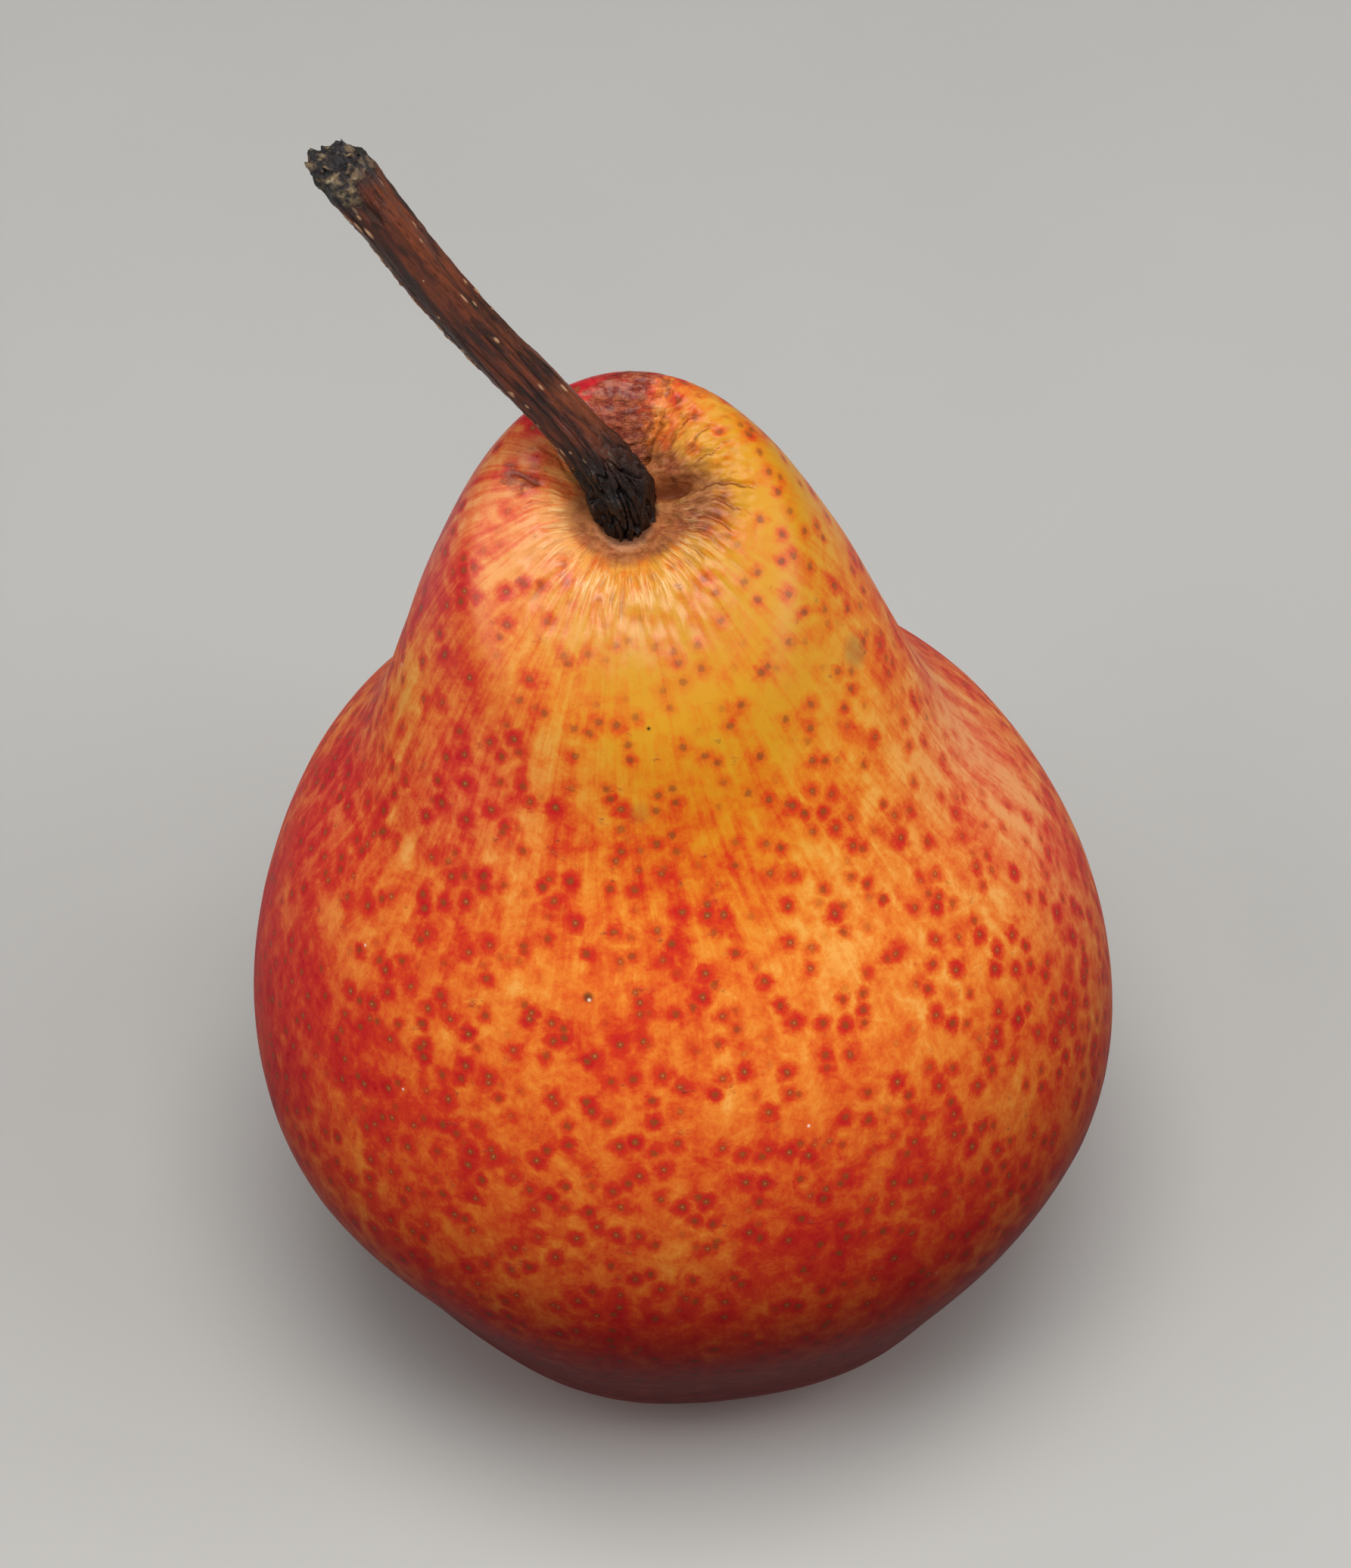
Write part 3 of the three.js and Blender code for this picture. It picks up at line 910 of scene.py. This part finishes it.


# Odd marks on the skin, and painted glints (tiny white highlights) among them: place, reach, how strong,
# colour.
SPOTS = [
    ((-3.6, -12.0, 64.1), 1.2, 0.2, (104, 116, 62)),
    ((12.7, -0.2, 69.3), 1.8, 0.4, (126, 110, 66)),
    ((-7.5, -21.1, 53.5), 0.55, 0.8, (82, 54, 34)),
    # Painted glints: tiny white highlights, the first one on the scar.
    ((-7.4, -21.2, 53.3), 0.2, 0.7, (250, 226, 204)),
    ((-24.8, -13.0, 50.0), 0.18, 0.7, (250, 226, 214)),
    ((-21.8, -21.8, 43.3), 0.16, 0.7, (250, 226, 214)),
    ((9.2, -26.7, 45.0), 0.18, 0.7, (250, 226, 214)),
    ((-22.0, 1.8, 65.8), 0.24, 0.7, (250, 226, 214)),
    ((-2.9, -8.5, 69.7), 0.22, 0.9, (30, 18, 12)),
    ((7.1, -13.9, 59.1), 0.22, 0.9, (30, 18, 12)),
]


def near(finish, where, middle, reach):
    """1 at a place on the piece, fading to 0 a reach away."""
    return finish.step(reach, reach * 0.3, finish.length(finish.vectors("SUBTRACT", where, middle)))


def mark_crown(skin, colour, where, gather):
    """Brown and grey patches round the stem, painted shadow at the root, and painted highlights and shade
    on wrinkles.
    """
    forward, stemward = [skin.part(skin.vector("ringward"), axis) for axis in (1, 2)]
    pucker = skin.number("pucker")
    ragged = skin.cloud(where, 1.7, 4, 0.7) - 0.5
    fine = skin.cloud(skin.vectors("MULTIPLY", where, (0.7, 1.3, 1.3)), 0.7, 4, 0.7) - 0.5
    russet = skin.step(0.22, 0.66, skin.number("russet") + ragged * 1.5 + fine * 0.9)
    # Grey-brown skin round the root, its darkening towards the root partly painted shade.
    greyed = skin.step(0.1, 0.9, skin.number("greyed") + ragged * 0.9 + fine * 0.4)
    grey_brown = skin.mix(skin.step(-0.14, 0.14, fine), srgb(108, 52, 38), srgb(162, 100, 66))
    colour = skin.mix(greyed * 0.85, colour, grey_brown)
    lip = skin.step(2.9, 2.7, stemward + ragged * 0.6) * skin.step(-0.5, -0.95, forward + ragged)
    colour = skin.mix(lip * 0.22, colour, srgb(206, 168, 136))
    # Painted shadow: dark brown right round the root, where it meets the skin.
    colour = skin.mix(skin.step(2.7, 2.3, stemward + fine * 0.4) * 0.75, colour, srgb(74, 42, 32))
    # Painted highlights: pale on the wrinkles' raised crests, and on the lit lines of the gathered skin.
    colour = skin.mix(skin.step(0.04, 0.2, pucker) * 0.2, colour, srgb(242, 202, 130))
    lit = skin.step(0.5, 0.64, gather) * skin.step(3.2, 5.5, stemward)
    colour = skin.mix(lit * 0.4, colour, srgb(246, 212, 148))
    bark_brown = skin.mix(skin.step(-0.1, 0.12, fine), srgb(98, 44, 40), srgb(172, 98, 70))
    colour = skin.mix(russet * 0.85, colour, bark_brown)
    # Painted shade: brown in the wrinkles' hollows, and darker still down the creases.
    colour = skin.mix(skin.step(-0.01, -0.14, pucker) * 0.5, colour, srgb(126, 54, 22))
    return skin.mix(skin.step(0.02, 0.24, skin.number("crevice")) * 0.7, colour, srgb(82, 36, 18)), russet


def skin_finish():
    skin = Finish("pear_skin")
    where = skin.place()
    gold = skin.number("gold")
    wash, mottle = ground_wash(skin, where)
    halo, spot, point = freckles(skin, where)
    fades = skin.number("freckled")
    wash = skin.maths("MINIMUM", skin.maths("MAXIMUM", wash, 0.0), 1.0)
    wash = wash + halo * (mottle * 1.4 + 1) * fades * (0.94 - gold * 0.34) * (0.86 - wash)
    gathered = skin.number("gathered")
    gather = skin.cloud(skin.vectors("MULTIPLY", skin.vector("ringward"), (26, 26, 0.45)), 1, 3, 0.6, 0.2)

    belly, neck = skin.colours(wash, BELLY_STOPS), skin.colours(wash, NECK_STOPS)
    colour = skin.mix(gold, belly, neck)
    colour = skin.mix(skin.number("rosy"), colour, skin.colours(wash, ROSY_STOPS))
    colour = skin.mix(spot * (wash * 0.56 + gold * 0.16 + 0.3) * fades, colour, srgb(130, 76, 34))
    colour = skin.mix(point * (0.34 - gold * 0.28) * fades, colour, srgb(222, 164, 112))
    # Painted shade: the red darkened towards maroon under the belly.
    colour = skin.mix(skin.number("deep"), colour, srgb(112, 66, 98), "MULTIPLY")
    colour, russet = mark_crown(skin, colour, where, gather * gathered)
    # The odd marks, and the painted glints among them.
    for middle, reach, share, shade in SPOTS:
        colour = skin.mix(near(skin, where, middle, reach) * share, colour, srgb(*shade))
    skin.feed(skin.shader.inputs["Base Color"], colour)

    pores = skin.cloud(where, 0.22, 2, 0.6)
    waves = skin.cloud(where, 1.6, 2, 0.5)
    crackle = skin.cloud(skin.vectors("MULTIPLY", where, (0.45, 1.2, 1.2)), 0.55, 3, 0.6)
    height = pores * 0.014 + waves * 0.035 + crackle * (russet * 0.3 + gathered * 0.1)
    height = height + gather * gathered * 0.16
    skin.feed(skin.shader.inputs["Normal"], skin.bump(height))
    skin.feed(skin.shader.inputs["Roughness"], 0.42 + mottle * 0.14)
    skin.feed(skin.shader.inputs["Specular IOR Level"], 0.02)
    skin.feed(skin.shader.inputs["Coat Weight"], skin.number("waxy") * 0.9)
    skin.feed(skin.shader.inputs["Coat Roughness"], 0.3)
    return skin.material


# ---- Bark -----------------------------------------------------------------------------------------
def bark_finish():
    bark = Finish("stem_bark")
    straight = bark.vector("straight")
    along = bark.part(straight, 2)
    grain = bark.cloud(bark.vectors("MULTIPLY", straight, (1, 1, 0.12)), 0.5, 5, 0.7)
    patches = bark.cloud(bark.vectors("MULTIPLY", straight, (1, 1, 0.4)), 2.4, 3, 0.55)
    colour = bark.mix(bark.step(0.4, 0.6, grain), srgb(44, 16, 8), srgb(104, 42, 18))
    colour = bark.mix(bark.step(0.46, 0.66, patches) * 0.36, colour, srgb(136, 64, 28))
    sheen = bark.step(0.54, 0.66, grain) * bark.step(0.5, 0.4, patches)
    colour = bark.mix(sheen * 0.45, colour, srgb(104, 78, 78))
    colour = bark.mix(bark.step(0.12, 0.6, bark.number("furrow")) * 0.75, colour, srgb(26, 11, 7))
    # Painted light: the stem darker down its one side and lighter orange-brown along the other.
    shaded = bark.part(straight, 0)
    colour = bark.mix(bark.step(-0.3, -1.6, shaded) * 0.5, colour, srgb(30, 14, 9))
    edge = bark.step(0.9, 1.7, shaded) * bark.step(0.36, 0.6, grain)
    colour = bark.mix(edge * 0.35, colour, srgb(144, 72, 32))
    colour = bark.mix(bark.step(0.25, 0.7, bark.number("pore")) * 0.8, colour, srgb(196, 150, 112))
    root = bark.step(14, 7, along + (patches - 0.5) * 6)
    cracks = bark.cloud(bark.vectors("MULTIPLY", straight, (1, 1, 0.35)), 0.7, 4, 0.7)
    char = bark.mix(bark.step(0.58, 0.7, cracks), srgb(20, 11, 11), srgb(84, 52, 42))
    colour = bark.mix(root * 0.92, colour, char)
    crust = bark.step(CRUST_START - 1.6, CRUST_START + 0.6, along + (patches - 0.5) * 6)
    crumbs = bark.cloud(straight, 0.9, 2, 0.6)
    lumps = bark.cloud(straight, 2.2, 2, 0.5)
    crumb_colour = bark.mix(bark.step(0.48, 0.62, crumbs), srgb(26, 28, 32), srgb(116, 98, 72))
    crumb_colour = bark.mix(bark.step(0.5, 0.6, lumps) * 0.6, crumb_colour, srgb(40, 46, 52))
    crumb_colour = bark.mix(bark.step(0.64, 0.72, crumbs) * 0.6, crumb_colour, srgb(172, 160, 130))
    colour = bark.mix(crust * 0.92, colour, crumb_colour)
    lichen = near(bark, straight, (1.3, -1.5, 10), 1) * bark.step(0.48, 0.62, cracks)
    colour = bark.mix(lichen * 0.8, colour, srgb(110, 122, 98))
    bark.feed(bark.shader.inputs["Base Color"], colour)
    fine = bark.cloud(straight, 0.25, 2, 0.6)
    height = grain * 0.26 + fine * 0.04 + cracks * (root * 0.6) + crumbs * (crust * 0.6)
    bark.feed(bark.shader.inputs["Normal"], bark.bump(height))
    bark.feed(bark.shader.inputs["Roughness"], 0.36 + (grain - 0.5) * 0.3 + crust * 0.3 - root * 0.06)
    return bark.material


def calyx_finish():
    dried = Finish("dried_calyx")
    where = dried.place()
    fibres = dried.cloud(dried.vectors("MULTIPLY", where, (1, 1, 2.5)), 0.5, 4, 0.6)
    colour = dried.mix(dried.step(0.35, 0.7, fibres), srgb(40, 26, 18), srgb(104, 76, 52))
    dried.feed(dried.shader.inputs["Base Color"], colour)
    dried.feed(dried.shader.inputs["Normal"], dried.bump(fibres, 0.1))
    dried.feed(dried.shader.inputs["Roughness"], 0.8 + (fibres - 0.5) * 0.2)
    return dried.material


# ---- Stage ----------------------------------------------------------------------------------------
FLOOR_RADIUS = 1.6
FLOOR_RIM = 0.5
RIM_STEPS = 8


def make_floor():
    """A pale round table top whose edge sweeps up, so that it fills the view from every side."""
    bpy.ops.object.select_all(action="DESELECT")
    bpy.ops.mesh.primitive_circle_add(vertices=96, radius=FLOOR_RADIUS, fill_type="NGON")
    floor = bpy.context.object
    floor.name = floor.data.name = "pale_floor"
    bpy.ops.object.mode_set(mode="EDIT")
    bpy.ops.mesh.select_all(action="SELECT")
    for i in range(1, RIM_STEPS + 1):
        lift = math.radians(90 * i / RIM_STEPS)
        before = math.radians(90 * (i - 1) / RIM_STEPS)
        rise = FLOOR_RIM * (math.cos(before) - math.cos(lift))
        reach = FLOOR_RADIUS + FLOOR_RIM * math.sin(lift)
        grow = reach / (FLOOR_RADIUS + FLOOR_RIM * math.sin(before))
        bpy.ops.mesh.select_mode(type="EDGE")
        bpy.ops.mesh.select_all(action="DESELECT")
        bpy.ops.mesh.select_non_manifold()
        bpy.ops.mesh.extrude_edges_move(TRANSFORM_OT_translate={"value": (0, 0, rise)})
        bpy.ops.transform.resize(value=(grow, grow, 1))
    bpy.ops.object.mode_set(mode="OBJECT")
    bpy.ops.object.shade_smooth()
    paper = Finish("pale_floor")
    where = paper.place()
    colour = paper.mix(paper.cloud(where, 40, 3, 0.5), srgb(184, 184, 182), srgb(190, 190, 188))
    paper.feed(paper.shader.inputs["Base Color"], colour)
    paper.feed(paper.shader.inputs["Roughness"], 0.7)
    floor.data.materials.append(paper.material)
    return floor


# The lamps: place, size, power and colour.
LAMPS = {
    "softbox": ((0.0, -0.16, 0.8), 0.5, 5.1, (1, 0.98, 0.95)),
    "fill_left": ((-0.65, -0.3, 0.6), 0.6, 2.3, (1, 0.98, 0.96)),
    "fill_right": ((0.7, -0.2, 0.6), 0.6, 2.9, (1, 0.98, 0.96)),
}
LAMPS_FACE = Vector((0, 0, 0.045))


def make_light(name, place, size, power, colour):
    """A soft square lamp that faces the fruit."""
    lamp = bpy.data.lights.new(name, "AREA")
    lamp.shape, lamp.size, lamp.energy, lamp.color = "SQUARE", size, power, colour
    holder = bpy.data.objects.new(name, lamp)
    bpy.context.scene.collection.objects.link(holder)
    holder.location = place
    holder.rotation_euler = (LAMPS_FACE - Vector(place)).to_track_quat("-Z", "Y").to_euler()


def light_stage():
    for name, lamp in LAMPS.items():
        make_light(name, *lamp)
    world = bpy.data.worlds.new("studio")
    bpy.context.scene.world = world
    world.use_nodes = True
    world.node_tree.nodes["Background"].inputs["Color"].default_value = (0.9, 0.92, 0.95, 1)
    world.node_tree.nodes["Background"].inputs["Strength"].default_value = 0.1
    bpy.context.scene.view_settings.view_transform = "Standard"


CAMERA_ELEVATION = 48
CAMERA_DISTANCE = 400
CAMERA_TARGET = Vector((-0.9, -1, 55.2))
IMAGE_HEIGHT = 2072
FOCAL_PIXELS = 6800
SENSOR = 36


def make_camera():
    lens = bpy.data.cameras.new("camera")
    lens.sensor_fit, lens.sensor_width = "AUTO", SENSOR
    lens.lens = FOCAL_PIXELS * SENSOR / IMAGE_HEIGHT
    camera = bpy.data.objects.new("camera", lens)
    bpy.context.scene.collection.objects.link(camera)
    lift = math.radians(CAMERA_ELEVATION)
    back = Vector((0, -math.cos(lift), math.sin(lift)))
    camera.location = (CAMERA_TARGET + back * CAMERA_DISTANCE) * MM
    camera.rotation_euler = Euler((math.radians(90) - lift, 0, 0))
    bpy.context.scene.camera = camera


# ---- The pear -------------------------------------------------------------------------------------
def place_piece(piece, node, material):
    piece.data.materials.clear()
    piece.data.materials.append(material)
    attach(piece, "root")
    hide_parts(node)


make_camera()
place_piece(make_fruit(), "fruit", skin_finish())
place_piece(make_stem(), "stem", bark_finish())
place_piece(make_calyx(), "calyx", calyx_finish())
make_floor()
light_stage()
